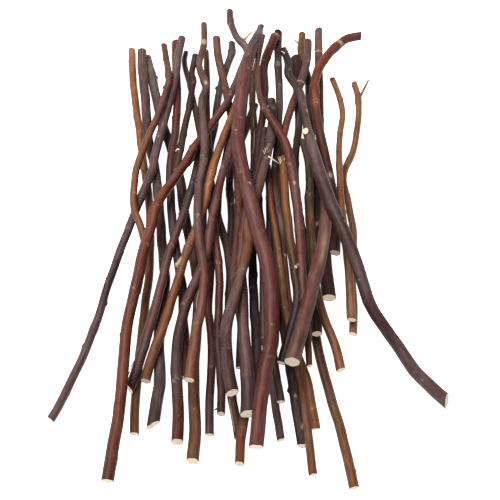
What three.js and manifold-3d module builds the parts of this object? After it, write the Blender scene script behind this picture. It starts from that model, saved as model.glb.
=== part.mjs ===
// A loose bundle of 39 cut twigs, laid on a table as a heap. Millimetres, +Z up, table at Z = 0.
// The thin tips point to +Y, and the cut ends to -Y.
import * as THREE from "three";
import Module from "manifold-3d";

// Driving dimensions, in millimetres.
const HEAP_LENGTH = 560; // on the table, from the farthest tip to the nearest cut end
const GAP = 0.7; // air kept between two twigs that rest on each other
const STEP = 3; // spacing of the stations along a twig that the laying works with
const SIDES = 8; // flats round a twig
const ROUNDNESS = 0.42; // how far the edge between two rings may leave the true line
const KNOT_REACH = 5; // from a knot's middle to where it has faded to a third
const PASSES = 4; // how often a twig's lie is worked out again after it has moved
const WORTHWHILE = 0.01; // how much lower a stronger bow has to let a twig lie
const BOWS = [0, 1 / 4000, 1 / 2000, 1 / 1300, 1 / 900, 1 / 650]; // how a twig may arch, as 1 / bend radius

// The view that the routes were read in: they are [column, row] points of a 500 x 500 picture.
const CENTRE_PIXEL = 250;
const FOCAL_PIXELS = 860;
const ELEVATION = THREE.MathUtils.degToRad(60); // how steeply the picture looks down at the table
const FAR_ROW = 10; // the farthest tip
const NEAR_ROW = 490; // the nearest cut end
const HEAP_MIDDLE = new THREE.Vector2(-0.5, 41.6); // the heap's middle, from the point under the picture's

const sightAngle = (row) => ELEVATION + Math.atan((row - CENTRE_PIXEL) / FOCAL_PIXELS);
const EYE_HEIGHT =
  HEAP_LENGTH / (1 / Math.tan(sightAngle(FAR_ROW)) - 1 / Math.tan(sightAngle(NEAR_ROW)));
const EYE = new THREE.Vector3(
  -HEAP_MIDDLE.x,
  -EYE_HEIGHT / Math.tan(ELEVATION) - HEAP_MIDDLE.y,
  EYE_HEIGHT,
);

// Where the sight line through a pixel comes down to height z.
function seenAt([column, row], z = 0) {
  const across = column - CENTRE_PIXEL;
  const down = row - CENTRE_PIXEL;
  const ray = new THREE.Vector3(
    across,
    FOCAL_PIXELS * Math.cos(ELEVATION) - down * Math.sin(ELEVATION),
    -FOCAL_PIXELS * Math.sin(ELEVATION) - down * Math.cos(ELEVATION),
  );
  return EYE.clone().addScaledVector(ray, (z - EYE.z) / ray.z);
}

// Bark colours, read from the picture by eye.
const ORANGE = 0x845638;
const TAN = 0x8f6748;
const RED = 0x753d30;
const MAUVE = 0x674b46;
const GREY = 0x5f5250;
const DARK = 0x42332f;

// The twigs, in the order in which they are laid, lowest first. Each has its diameters in
// millimetres, spaced evenly from the tip to the cut end, and its route from tip to cut end.
// A knot is [share of the length, growth of the radius]. A shoot is a side twig or its cut stub:
// [share of the length, pixel that its end is seen at, its end's height above the twig, diameters].
const TWIGS = [
  {
    name: "twig_04_orange",
    bark: ORANGE,
    diameters: [8.4, 8.5, 8.6],
    route: [
      [132, 49], [132.5, 70], [134, 90], [139, 128], [143, 160], [148, 190], [150, 220],
      [150, 250], [149, 275], [145.5, 300], [141, 340], [137, 380], [134.5, 415], [134.5, 433],
    ],
  },
  {
    name: "twig_12_brown",
    bark: DARK,
    diameters: [10.4, 10.3, 10.4, 11.3],
    route: [
      [147, 57], [154.5, 88], [161, 118], [171, 147], [180, 178], [184, 210], [190, 240],
      [196, 270], [198.3, 300], [196, 335], [193.5, 370], [194.5, 410], [195, 430], [192.5, 460],
    ],
    knots: [[0.05, 0.12]],
  },
  {
    name: "twig_07_grey",
    bark: GREY,
    diameters: [10.7, 10, 9.9, 11.5],
    slant: 0.7,
    route: [
      [142, 50], [142.5, 70], [145.5, 100], [148, 137], [155, 168], [159, 205], [162, 242],
      [165, 278], [163, 300], [158.7, 338], [160, 378], [157.5, 395], [153, 424],
    ],
  },
  {
    name: "twig_13_dark",
    bark: DARK,
    diameters: [7.1, 6.7, 6.3],
    route: [[207, 150], [206, 180], [204, 205], [203.5, 228], [204.5, 248], [207, 265], [208, 285], [206, 310]],
  },
  {
    name: "twig_33_dark",
    bark: DARK,
    diameters: [9.2, 9, 9.2, 14.6],
    route: [
      [318.5, 29], [318.5, 55], [319.5, 90], [320, 125], [321, 160], [321, 200], [324, 230],
      [325.5, 260], [327, 280], [329, 297],
    ],
    knots: [[0.09, 0.1]],
  },
  {
    name: "twig_17_red",
    bark: RED,
    diameters: [8.8, 8, 8.3],
    route: [
      [254.5, 104], [247.5, 124], [239, 145], [231.5, 167], [229.5, 184], [231, 203], [231.5, 220],
      [230.5, 240], [232.5, 265], [233.5, 300],
    ],
    knots: [[0.5, 0.18]],
  },
  {
    name: "twig_24_mauve",
    bark: MAUVE,
    diameters: [8.1, 8.3, 8, 7.6],
    route: [
      [230, 10], [230.3, 19], [235.5, 34], [245.5, 46], [248.3, 58], [245.5, 80], [241.5, 105],
      [239.2, 138], [243.5, 171], [249, 200], [256, 228], [264, 258], [269, 288], [270.5, 330],
      [271, 370], [275, 402], [281, 439],
    ],
    knots: [[0.03, 0.15], [0.1, 0.15]],
    shoots: [[0.1, [251.5, 31], 3, [2.6, 1.6]]],
  },
  {
    name: "twig_10_red",
    bark: RED,
    diameters: [9.1, 8.9, 8.9],
    route: [
      [175.5, 41], [176, 70], [177.3, 92], [175.5, 130], [171, 157], [170, 182], [172.5, 222],
      [177, 255], [182, 285], [183, 315], [184.7, 340], [183, 377],
    ],
  },
  {
    name: "twig_01_mauve",
    bark: MAUVE,
    diameters: [9.1, 9.4, 8.1, 8.2],
    route: [
      [182, 37], [178, 55], [175.8, 72], [169.5, 100], [160, 135], [154.5, 157], [152, 170],
      [139, 201], [127, 232], [112, 272], [99, 313], [88, 343], [74, 374], [58.5, 405], [50.5, 418.5],
    ],
    knots: [[0.47, 0.08], [0.8, 0.1]],
  },
  {
    name: "twig_05_orange",
    bark: ORANGE,
    diameters: [7.1, 7.8, 7.4],
    route: [
      [164, 44], [168.5, 73], [167.5, 85], [159.5, 110], [144.5, 145], [136.5, 168], [133.5, 193],
      [134.3, 208], [141, 227], [144.8, 246], [142.5, 265], [137, 292],
    ],
    knots: [[0.14, 0.2]],
  },
  {
    name: "twig_03_brown",
    bark: RED,
    diameters: [5.8, 7.2, 8.7, 9.8],
    route: [
      [186, 51], [184.5, 62], [190, 85], [198, 123], [200, 140], [195, 173], [185.5, 207],
      [173, 241], [166.5, 262], [157, 300], [146, 338], [134.5, 375], [129, 388],
    ],
    knots: [[0.34, 0.2], [0.47, 0.12]],
    shoots: [[0.345, [188, 165], 1, [4, 3]]],
  },
  {
    name: "twig_08_brown",
    bark: DARK,
    diameters: [6.5, 7.2, 7.8],
    route: [
      [195, 54], [192, 73], [192.5, 83], [189.5, 104], [184.5, 128], [180, 150], [176.5, 169],
    ],
    knots: [[0.25, 0.3], [0.83, 0.15]],
    shoots: [[0.84, [177.4, 149.5], 3, [5, 4.6]]],
  },
  {
    name: "twig_18_dark",
    bark: DARK,
    diameters: [7.9, 8.3, 8.6, 8.6],
    route: [
      [232, 42], [231, 54], [223, 77], [217.5, 100], [215, 123], [210, 148], [210, 175],
      [216, 209], [226.5, 245], [230, 272], [228.5, 315], [227, 350], [229.5, 380], [235.5, 416],
      [239, 438],
    ],
    knots: [[0.03, 0.25], [0.12, 0.1]],
  },
  {
    name: "twig_19_brown",
    bark: DARK,
    diameters: [9.1, 8.5, 8.6, 7.1],
    route: [
      [216.5, 37], [218.5, 58], [225.5, 88], [230, 110], [235, 140], [238, 185], [239, 214],
      [236, 250], [233, 277], [237.5, 303], [241, 326], [239.5, 354], [239.5, 367],
    ],
  },
  {
    name: "twig_14_mauve",
    bark: MAUVE,
    diameters: [7.3, 7.9, 8.3],
    route: [
      [233, 125], [225, 160], [219, 192], [216.5, 222], [211.5, 262], [208.5, 305], [209.5, 320],
      [212, 350], [210.5, 380], [209.5, 410], [209.5, 434],
    ],
  },
  {
    name: "twig_15_red",
    bark: RED,
    diameters: [6.5, 7.8, 7.7],
    route: [
      [206, 50], [207, 76], [207, 117], [209.5, 155], [210, 190], [215, 235], [219.3, 272],
      [219, 302], [217.5, 335], [220, 367], [221.3, 390], [221, 413],
    ],
    knots: [[0.57, 0.12]],
  },
  {
    name: "twig_02_red",
    bark: RED,
    diameters: [7.5, 8.5, 9.6, 11.1, 10.8, 11.4],
    route: [
      [246, 55], [236.5, 80], [227, 101], [211, 124], [196, 144], [180, 170], [163, 193],
      [156, 207], [149.5, 230], [142.5, 253], [137, 280], [127.5, 322], [124.3, 352], [122, 380],
      [119, 410], [111.5, 455], [107.5, 480],
    ],
    knots: [[0.44, 0.1]],
  },
  {
    name: "twig_06_orange",
    bark: ORANGE,
    diameters: [7.6, 8.6, 8.6, 9.4],
    route: [
      [241, 86], [234.5, 108], [221, 143], [211.5, 172], [205.5, 198], [198.5, 222], [186.5, 252],
      [175, 289], [163, 326], [154, 350], [147, 373], [145.5, 380],
    ],
    knots: [[0.33, 0.12], [0.6, 0.2], [0.81, 0.12]],
    shoots: [[0.61, [176.2, 265.5], 1, [5.2, 4.2]]],
  },
  {
    name: "twig_09_mauve",
    bark: MAUVE,
    diameters: [7.3, 9, 10, 10.9],
    route: [
      [236, 128], [228.5, 153], [221, 177], [215.5, 203], [210.5, 228], [206.5, 252], [200, 271],
      [188.5, 297], [182, 318], [177.5, 341], [176, 368], [177.5, 395], [178, 420], [177, 441],
    ],
    knots: [[0.3, 0.08], [0.81, 0.06]],
  },
  {
    name: "twig_11_mauve",
    bark: MAUVE,
    diameters: [7.3, 8.4, 8.7, 9.8],
    route: [
      [204, 23], [204, 43], [199, 65], [206, 85], [201.7, 102], [204.7, 140], [203, 164],
      [198.5, 188], [198, 228], [203.5, 268], [203, 293], [196, 332], [191.5, 360], [189, 379],
    ],
    knots: [[0.07, 0.15], [0.2, 0.25], [0.39, 0.08], [0.86, 0.08]],
    shoots: [[0.2, [208.8, 83], 1.5, [4, 3]]],
  },
  {
    name: "twig_20_dark",
    bark: DARK,
    diameters: [5.9, 7.2, 8.4, 8.4, 9.8, 8.5],
    route: [
      [263, 34.5], [258.5, 55], [252.5, 90], [254, 131], [254, 170], [253, 205], [252.5, 240],
      [253, 280], [254.5, 310], [256.5, 350], [253, 381], [246, 408], [241, 436], [239.5, 463],
    ],
    knots: [[0.26, 0.2], [0.63, 0.06]],
  },
  {
    name: "twig_28_dark",
    bark: DARK,
    diameters: [8.3, 8.8, 10, 10.5],
    route: [
      [269, 172], [270.3, 215], [269.7, 245], [274, 280], [283, 322], [290.5, 365], [296, 402],
      [302, 438], [303, 445],
    ],
    knots: [[0.76, 0.08]],
  },
  {
    name: "twig_38_brown",
    bark: ORANGE,
    diameters: [8.5, 9.2, 9.3, 9.3],
    route: [
      [302, 33], [301.5, 57], [308, 79], [310, 117], [312, 150], [316.8, 192], [316, 230],
      [313.5, 275], [313.5, 315], [319, 352], [329, 390], [341, 431], [350.5, 470], [354, 487],
    ],
    knots: [[0.04, 0.15], [0.49, 0.2]],
    shoots: [[0.036, [294.2, 39], 3, [3.4, 1.6]]],
  },
  {
    name: "twig_32_dark",
    bark: DARK,
    diameters: [12.3, 8.4, 7.7, 7.8, 8.7, 10.2],
    route: [
      [295.5, 57], [297, 85], [298.5, 125], [295.3, 158], [296.5, 192], [303, 235], [309, 272],
      [316, 310], [317, 333],
    ],
  },
  {
    name: "twig_35_olive",
    bark: ORANGE,
    diameters: [6, 9.2, 7.5, 9],
    route: [
      [302, 139], [308, 162], [309.3, 180], [309.2, 205], [311, 235], [314.5, 273], [322, 310],
      [335, 344], [341, 369],
    ],
    knots: [[0.28, 0.12]],
  },
  {
    name: "twig_34_red",
    bark: RED,
    diameters: [9.9, 10.3, 10.3, 10.7],
    route: [
      [361, 35], [352, 36.5], [343, 40], [328, 54], [317.5, 71], [314.5, 90], [317, 118],
      [325.5, 158], [333, 195], [335.7, 225], [335, 252],
    ],
    knots: [[0.12, 0.12], [0.34, 0.14], [0.68, 0.06]],
  },
  {
    name: "twig_37_tan",
    bark: TAN,
    diameters: [7, 7, 7.6, 8.2],
    route: [
      [354, 82], [358, 97], [358, 120], [353, 150], [343.5, 174], [347.5, 198], [353.5, 233],
      [351.5, 270], [353.5, 305], [353, 333],
    ],
    knots: [[0.08, 0.2], [0.34, 0.12]],
    shoots: [[0.08, [368.5, 79], 3, [3.6, 2]]],
  },
  {
    name: "twig_36_tan",
    bark: TAN,
    diameters: [6.4, 6.5, 7.2, 9.3],
    route: [
      [332.5, 78], [338.5, 94], [342.5, 112], [339.5, 138], [339.5, 172], [342, 208], [347, 252],
      [350, 287], [351.5, 319],
    ],
    knots: [[0.4, 0.1]],
  },
  {
    name: "twig_25_orange",
    bark: ORANGE,
    diameters: [9.1, 8, 6.6, 7.7],
    route: [
      [308, 40], [307.5, 56], [301.5, 80], [291.5, 106], [284.5, 131], [279, 167], [278.3, 210],
      [277.5, 255], [274, 315], [273.3, 350], [277.5, 380], [281, 401],
    ],
    knots: [[0.14, 0.1]],
  },
  {
    name: "twig_30_grey",
    bark: GREY,
    diameters: [9.1, 7.2, 6.6, 8],
    route: [
      [278.3, 31], [278, 60], [279.5, 104], [277, 144], [274.5, 176], [279, 212], [283, 240],
      [286, 278], [291, 315], [297.5, 360], [305, 405], [310, 450], [313, 474],
    ],
    knots: [[0.1, 0.1]],
  },
  {
    name: "twig_23_red",
    bark: RED,
    diameters: [10.4, 7.9, 7.7, 8.1],
    route: [
      [275, 34.5], [267.5, 54], [263.7, 68], [265, 90], [262.5, 117], [258.5, 140], [257, 165],
      [259, 205], [262, 230], [263.5, 275], [263.5, 320], [265, 345],
    ],
    knots: [[0.09, 0.1], [0.96, 0.15]],
  },
  {
    name: "twig_21_brown",
    bark: RED,
    diameters: [8.4, 9.1, 10, 11.1, 14.4],
    route: [
      [265, 128], [262, 152], [256, 176], [248.5, 200], [243.3, 228], [240.6, 260], [242.5, 293],
      [243.5, 330], [246.5, 361], [248.3, 395], [248, 413],
    ],
  },
  {
    name: "twig_31_orange",
    bark: ORANGE,
    diameters: [5.9, 7.2, 8.2, 8.6],
    route: [
      [268, 165], [269.5, 190], [275, 229], [280, 265], [284, 302], [293, 340], [306.5, 378],
      [312, 406], [316, 428],
    ],
    knots: [[0.5, 0.14]],
  },
  {
    name: "twig_26_golden",
    bark: ORANGE,
    diameters: [8.4, 9.4, 8],
    route: [
      [283, 157], [285, 195], [289, 232], [294.5, 268], [297.5, 290], [295.5, 312], [288.5, 336],
      [281, 362],
    ],
  },
  {
    name: "twig_16_grey",
    bark: GREY,
    diameters: [8.6, 9.3, 10.4, 11.7],
    route: [
      [271.5, 99], [272.5, 118], [268, 150], [259, 186], [249, 221], [246.7, 250], [236.5, 288],
      [227, 322], [226, 348], [228.5, 371], [232.5, 392],
    ],
    knots: [[0.16, 0.25], [0.56, 0.1]],
  },
  {
    name: "twig_29_red",
    bark: RED,
    diameters: [3.9, 7.1, 10.1, 9.5, 8.4, 5.7],
    route: [
      [256.5, 52], [258, 70], [258.5, 89], [264.5, 107], [279.5, 131], [287.5, 148], [293.5, 178],
      [298.5, 216], [301, 255], [303.5, 294], [307.5, 335], [309.5, 365],
    ],
    knots: [[0.68, 0.12]],
    shoots: [[0.722, [295.6, 266], 4, [4.4, 3.8]]],
  },
  {
    name: "twig_27_mauve",
    bark: MAUVE,
    diameters: [9.4, 11, 12.6, 13.9],
    route: [
      [312, 140], [320, 170], [325.3, 200], [323.7, 238], [315, 276], [305.5, 312], [295.5, 348],
      [292, 361],
    ],
    knots: [[0.62, 0.06]],
  },
  {
    name: "twig_39_dark",
    bark: MAUVE,
    diameters: [8.2, 8.4, 8.2, 8.4, 12.2, 13, 13.4, 12.6, 11.7, 11.4, 11.2, 11.8, 12.6],
    slant: 0.1,
    route: [
      [283.5, 48.5], [288, 61], [288.8, 74], [300, 92], [304, 111], [310.5, 141], [320, 173],
      [332, 206], [347.5, 239], [359.5, 271], [369.5, 302], [381, 321], [400.5, 349], [414, 368.5],
      [431.5, 386.5], [447, 400],
    ],
    knots: [[0.276, 0.12]],
    shoots: [[0.273, [305.4, 130], 6, [7.6, 7]]],
  },
  {
    name: "twig_22_mauve",
    bark: RED,
    diameters: [10.2, 14.3, 13.7, 14.6, 14.9, 13, 12.6],
    route: [
      [261, 25], [257, 37], [249.8, 53], [243.5, 81], [240, 110], [238, 135], [240.5, 160],
      [248, 190], [258, 230], [266.5, 260], [271, 295], [271, 340], [265, 370], [260.5, 402],
      [256, 446],
    ],
    knots: [[0, -0.3], [0.014, -0.25], [0.2, 0.05], [0.36, 0.04], [0.8, 0.06]],
  },
];

// The value at a share of the length, between values spaced evenly along it.
function along(values, share) {
  const at = Math.min(Math.max(share, 0), 1) * (values.length - 1);
  const i = Math.min(Math.floor(at), values.length - 2);
  return THREE.MathUtils.lerp(values[i], values[i + 1], at - i);
}

// A twig's stations on the table: its ground point, its place along its chord, and its radius.
function stationsOf({ route, diameters, knots = [] }) {
  const line = new THREE.CatmullRomCurve3(route.map((pixel) => seenAt(pixel)), false, "catmullrom");
  const first = line.getPoint(0);
  const chord = line.getPoint(1).sub(first).normalize();
  const pieces = route.length - 1;
  const count = pieces * Math.ceil(line.getLength() / pieces / STEP);
  const length = line.getLength();
  let travelled = 0;
  let before = first;
  return Array.from({ length: count + 1 }, (_, i) => {
    const ground = line.getPoint(i / count);
    travelled += ground.distanceTo(before);
    before = ground;
    const share = travelled / length;
    let radius = along(diameters, share) / 2;
    for (const [at, growth] of knots) {
      radius *= 1 + growth * Math.exp(-((((share - at) * length) / KNOT_REACH) ** 2));
    }
    return { ground, along: ground.clone().sub(first).dot(chord), share, radius };
  });
}

// A ground point moved up its sight line to height z.
const raised = (ground, z) => ground.clone().lerp(EYE, z / EYE.z);

// The lowest height at which a station clears every segment of the twigs below it.
function clearHeight(place, radius, laid) {
  let lowest = radius * Math.cos(Math.PI / SIDES);
  for (const points of laid) {
    for (let i = 1; i < points.length; i += 1) {
      const a = points[i - 1];
      const b = points[i];
      const reach = radius + Math.max(a.radius, b.radius) + GAP;
      const dx = b.place.x - a.place.x;
      const dy = b.place.y - a.place.y;
      const px = place.x - a.place.x;
      const py = place.y - a.place.y;
      if (px * px + py * py > (reach + STEP) ** 2) continue;
      const t = Math.min(Math.max((px * dx + py * dy) / (dx * dx + dy * dy), 0), 1);
      const apart = (px - t * dx) ** 2 + (py - t * dy) ** 2;
      if (apart >= reach * reach) continue;
      const height = THREE.MathUtils.lerp(a.place.z, b.place.z, t) + Math.sqrt(reach * reach - apart);
      lowest = Math.max(lowest, height);
    }
  }
  return lowest;
}

// The straight lie over the given points that is held on both sides of the middle.
function restingLine(points, middle) {
  const hull = [];
  for (const p of [...points].sort((a, b) => a[0] - b[0])) {
    while (hull.length > 1) {
      const [a, b] = hull.slice(-2);
      if ((b[0] - a[0]) * (p[1] - a[1]) - (b[1] - a[1]) * (p[0] - a[0]) < 0) break;
      hull.pop();
    }
    hull.push(p);
  }
  const right = Math.max(1, hull.findIndex((p) => p[0] > middle));
  const [a, b] = [hull[right - 1], hull[right]];
  const slope = (b[1] - a[1]) / (b[0] - a[0]);
  return (at) => a[1] + slope * (at - a[0]);
}

// Lays one twig on those already laid, and gives its stations their places. A twig isn't quite
// straight, so of the bows in BOWS it takes the one that lets it lie lowest.
function lay(stations, laid) {
  const middle = stations.at(-1).along / 2;
  let best = null;
  for (const bow of BOWS) {
    const arch = (at) => (-bow * (at - middle) ** 2) / 2;
    let height = () => 0;
    for (let pass = 0; pass < PASSES; pass += 1) {
      const needed = stations.map((s) => [
        s.along,
        clearHeight(raised(s.ground, height(s.along)), s.radius, laid) - arch(s.along),
      ]);
      const line = restingLine(needed, middle);
      height = (at) => line(at) + arch(at);
    }
    const top = Math.max(...stations.map((s) => height(s.along)));
    if (!best || top < best.top - WORTHWHILE) best = { top, height };
  }
  return stations.map((s) => ({ ...s, place: raised(s.ground, best.height(s.along)) }));
}

// The fewest stations whose joining edges stay within ROUNDNESS of them all.
function ringsFrom(stations) {
  const last = stations.length - 1;
  const a = stations[0];
  const b = stations[last];
  let worst = 0;
  let split = 0;
  for (let i = 1; i < last; i += 1) {
    const t = (stations[i].share - a.share) / (b.share - a.share);
    const off =
      stations[i].place.distanceTo(a.place.clone().lerp(b.place, t)) +
      Math.abs(stations[i].radius - THREE.MathUtils.lerp(a.radius, b.radius, t));
    if (off > worst) [worst, split] = [off, i];
  }
  if (worst <= ROUNDNESS) return [a, b];
  return [...ringsFrom(stations.slice(0, split + 1)), ...ringsFrom(stations.slice(split)).slice(1)];
}

// A closed tube through rings of { place, radius }. Its ends may be cut upright instead of square,
// and the last one at a slant to one side.
function tube(rings, { upright = false, slant = 0 } = {}) {
  const position = [];
  const index = [];
  rings.forEach(({ place, radius }, i) => {
    const next = rings[Math.min(i + 1, rings.length - 1)].place;
    const tangent = next.clone().sub(rings[Math.max(i - 1, 0)].place).normalize();
    const side = new THREE.Vector3(tangent.y, -tangent.x, 0).normalize();
    const top = new THREE.Vector3().crossVectors(side, tangent);
    const isEnd = upright && (i === 0 || i === rings.length - 1);
    const lean = isEnd ? tangent.z / Math.hypot(tangent.x, tangent.y) : 0;
    const across = i === rings.length - 1 ? slant : 0;
    for (let k = 0; k < SIDES; k += 1) {
      const turn = (2 * Math.PI * (k + 0.5)) / SIDES;
      const skew = radius * (across * Math.cos(turn) + lean * Math.sin(turn));
      const corner = place
        .clone()
        .addScaledVector(side, radius * Math.cos(turn))
        .addScaledVector(top, radius * Math.sin(turn))
        .addScaledVector(tangent, skew);
      position.push(corner.x, corner.y, corner.z);
    }
  });
  const lastRing = (rings.length - 1) * SIDES;
  for (let i = 0; i < lastRing; i += SIDES) {
    for (let k = 0; k < SIDES; k += 1) {
      const m = (k + 1) % SIDES;
      index.push(i + k, i + SIDES + k, i + SIDES + m, i + k, i + SIDES + m, i + m);
    }
  }
  for (let k = 1; k < SIDES - 1; k += 1) {
    index.push(0, k, k + 1, lastRing, lastRing + k + 1, lastRing + k);
  }
  return { position, index };
}

const manifold = await Module();
manifold.setup();

function solid({ position, index }) {
  return new manifold.Manifold(
    new manifold.Mesh({
      numProp: 3,
      vertProperties: new Float32Array(position),
      triVerts: new Uint32Array(index),
    }),
  );
}

// A side shoot, from inside its twig to the place that its end is seen at.
function shootOf(stations, [share, pixel, rise, [thick, thin]]) {
  const root = stations.find((s) => s.share >= share).place;
  return solid(
    tube([
      { place: root, radius: thick / 2 },
      { place: seenAt(pixel, root.z + rise), radius: thin / 2 },
    ]),
  );
}

function geometryOf(twig, stations) {
  let body = solid(tube(ringsFrom(stations), { upright: true, slant: twig.slant }));
  for (const shoot of twig.shoots ?? []) body = body.add(shootOf(stations, shoot));
  const mesh = body.getMesh();
  const geometry = new THREE.BufferGeometry();
  geometry.setAttribute("position", new THREE.BufferAttribute(mesh.vertProperties, 3));
  geometry.setIndex(new THREE.BufferAttribute(mesh.triVerts, 1));
  geometry.computeVertexNormals();
  return geometry;
}

const bundle = new THREE.Group();
bundle.name = "twig_bundle";
const laid = [];
for (const twig of TWIGS) {
  const stations = lay(stationsOf(twig), laid);
  laid.push(stations);
  const bark = new THREE.MeshStandardMaterial({ color: twig.bark, roughness: 0.7, metalness: 0 });
  const mesh = new THREE.Mesh(geometryOf(twig, stations), bark);
  mesh.name = twig.name;
  bundle.add(mesh);
}

export default bundle;
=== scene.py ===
"""The looks of a loose bundle of 39 cut twigs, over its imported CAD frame.

The twigs' routes and the way they are laid on each other are the same as in the part's source, so
each twig's finer mesh lies where its solid lies. Routes, knots and shoots are in millimetres and
in pixels of a 500 x 500 picture, and everything that goes to Blender is in metres.
"""

import math
import random
from dataclasses import dataclass, field

import bpy
import numpy as np
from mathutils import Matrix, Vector


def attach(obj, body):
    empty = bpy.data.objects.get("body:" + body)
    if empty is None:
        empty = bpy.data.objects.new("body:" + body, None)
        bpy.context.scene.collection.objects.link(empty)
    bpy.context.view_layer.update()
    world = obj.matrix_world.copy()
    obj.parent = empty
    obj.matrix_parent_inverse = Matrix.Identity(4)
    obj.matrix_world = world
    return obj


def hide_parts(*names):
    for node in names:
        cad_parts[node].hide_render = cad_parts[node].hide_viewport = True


MM = 0.001

# The heap, in millimetres, as in the part's source.
HEAP_LENGTH = 560
GAP = 0.7
STEP = 3
SIDES = 8
BOWS = (0, 1 / 4000, 1 / 2000, 1 / 1300, 1 / 900, 1 / 650)
KNOT_REACH = 5  # from a knot's middle to where it has faded to a third
PASSES = 4  # how often a twig's lie is worked out again after it has moved
WORTHWHILE = 0.01  # how much lower a stronger bow has to let a twig lie
HEAP_MIDDLE = (-0.5, 41.6)

# The view that the routes were read in.
PICTURE = 500
CENTRE_PIXEL = 250
FOCAL_PIXELS = 860
ELEVATION = math.radians(60)
FAR_ROW = 10
NEAR_ROW = 490

# The finer twigs, in millimetres.
FINE_STEP = 1.5  # spacing of the rings
FINE_SIDES = 28
SHRINK = 0.962  # a round twig of this share of the radius has the solid's mean thickness
SWAY = 0.25  # how far a twig wanders off its smooth line between its buds
SWAY_WAVES = (22, 60)  # the shortest and the longest wave of that wander
STEADY_END = 20  # the wander fades out over this much of each end
PATTERN_SPACING = 1000  # each twig reads its own metre of the patterns
PAINTED_UNDERSIDE_SHADE = 0.32  # painted shade: how light the lower side's bark is painted, as a share of the upper side's
BARK_THICKNESS = 0.35
CUT_REACH = 6  # how far along a twig the slant of its cut end is felt
CUT_EDGE = 0.25  # the bark ends this far back from the cut
SHOOT_STEP = 1.2
SHOOT_SIDES = 14


# The heap.


def sight_angle(row):
    return ELEVATION + math.atan((row - CENTRE_PIXEL) / FOCAL_PIXELS)


EYE_HEIGHT = HEAP_LENGTH / (1 / math.tan(sight_angle(FAR_ROW)) - 1 / math.tan(sight_angle(NEAR_ROW)))
EYE = np.array(
    (-HEAP_MIDDLE[0], -EYE_HEIGHT / math.tan(ELEVATION) - HEAP_MIDDLE[1], EYE_HEIGHT)
)


def seen_at(pixel, z=0.0):
    """Where the sight line through a pixel comes down to height z."""
    across = pixel[0] - CENTRE_PIXEL
    down = pixel[1] - CENTRE_PIXEL
    ray = np.array(
        (
            across,
            FOCAL_PIXELS * math.cos(ELEVATION) - down * math.sin(ELEVATION),
            -FOCAL_PIXELS * math.sin(ELEVATION) - down * math.cos(ELEVATION),
        )
    )
    return EYE + ray * (z - EYE[2]) / ray[2]


def seen_pixels(places):
    """The pixels at which places are seen."""
    ray = places - EYE
    forward = ray @ np.array((0, math.cos(ELEVATION), -math.sin(ELEVATION)))
    down = ray @ np.array((0, -math.sin(ELEVATION), -math.cos(ELEVATION)))
    return CENTRE_PIXEL + FOCAL_PIXELS * np.column_stack([ray[:, 0], down]) / forward[:, None]


@dataclass
class Shoot:
    """A side twig, or the stub of one."""

    share: float  # of the twig's length, where it leaves the twig
    end: tuple  # the pixel that its end is seen at
    rise: float  # of its end above the twig
    diameters: tuple
    bare: float = 0.0  # how far its bark is worn off
    curl: float = 0.0  # how far it runs along the twig before it turns aside
    bark: str = ""  # its own colour, where that isn't the twig's


@dataclass
class Twig:
    """One twig, tip first, with routes, ends, marks and patches in pixels of the picture. A knot is
    (share of the length, growth of the radius)."""

    node: str
    diameters: tuple
    route: list
    barks: tuple  # bark colours from the tip to the cut end
    slant: float = 0.0  # of the cut end, to one side
    tilt: float = 0.0  # of the cut end, to face up
    knots: list = field(default_factory=list)
    shoots: list = field(default_factory=list)
    marks: list = field(default_factory=list)  # (kind, column, row, size) of what shows on the bark
    patches: list = field(default_factory=list)  # (first pixel, last pixel, bark colour, width)
    slot: str = ""  # of its bark, where the node isn't named for it


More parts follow.
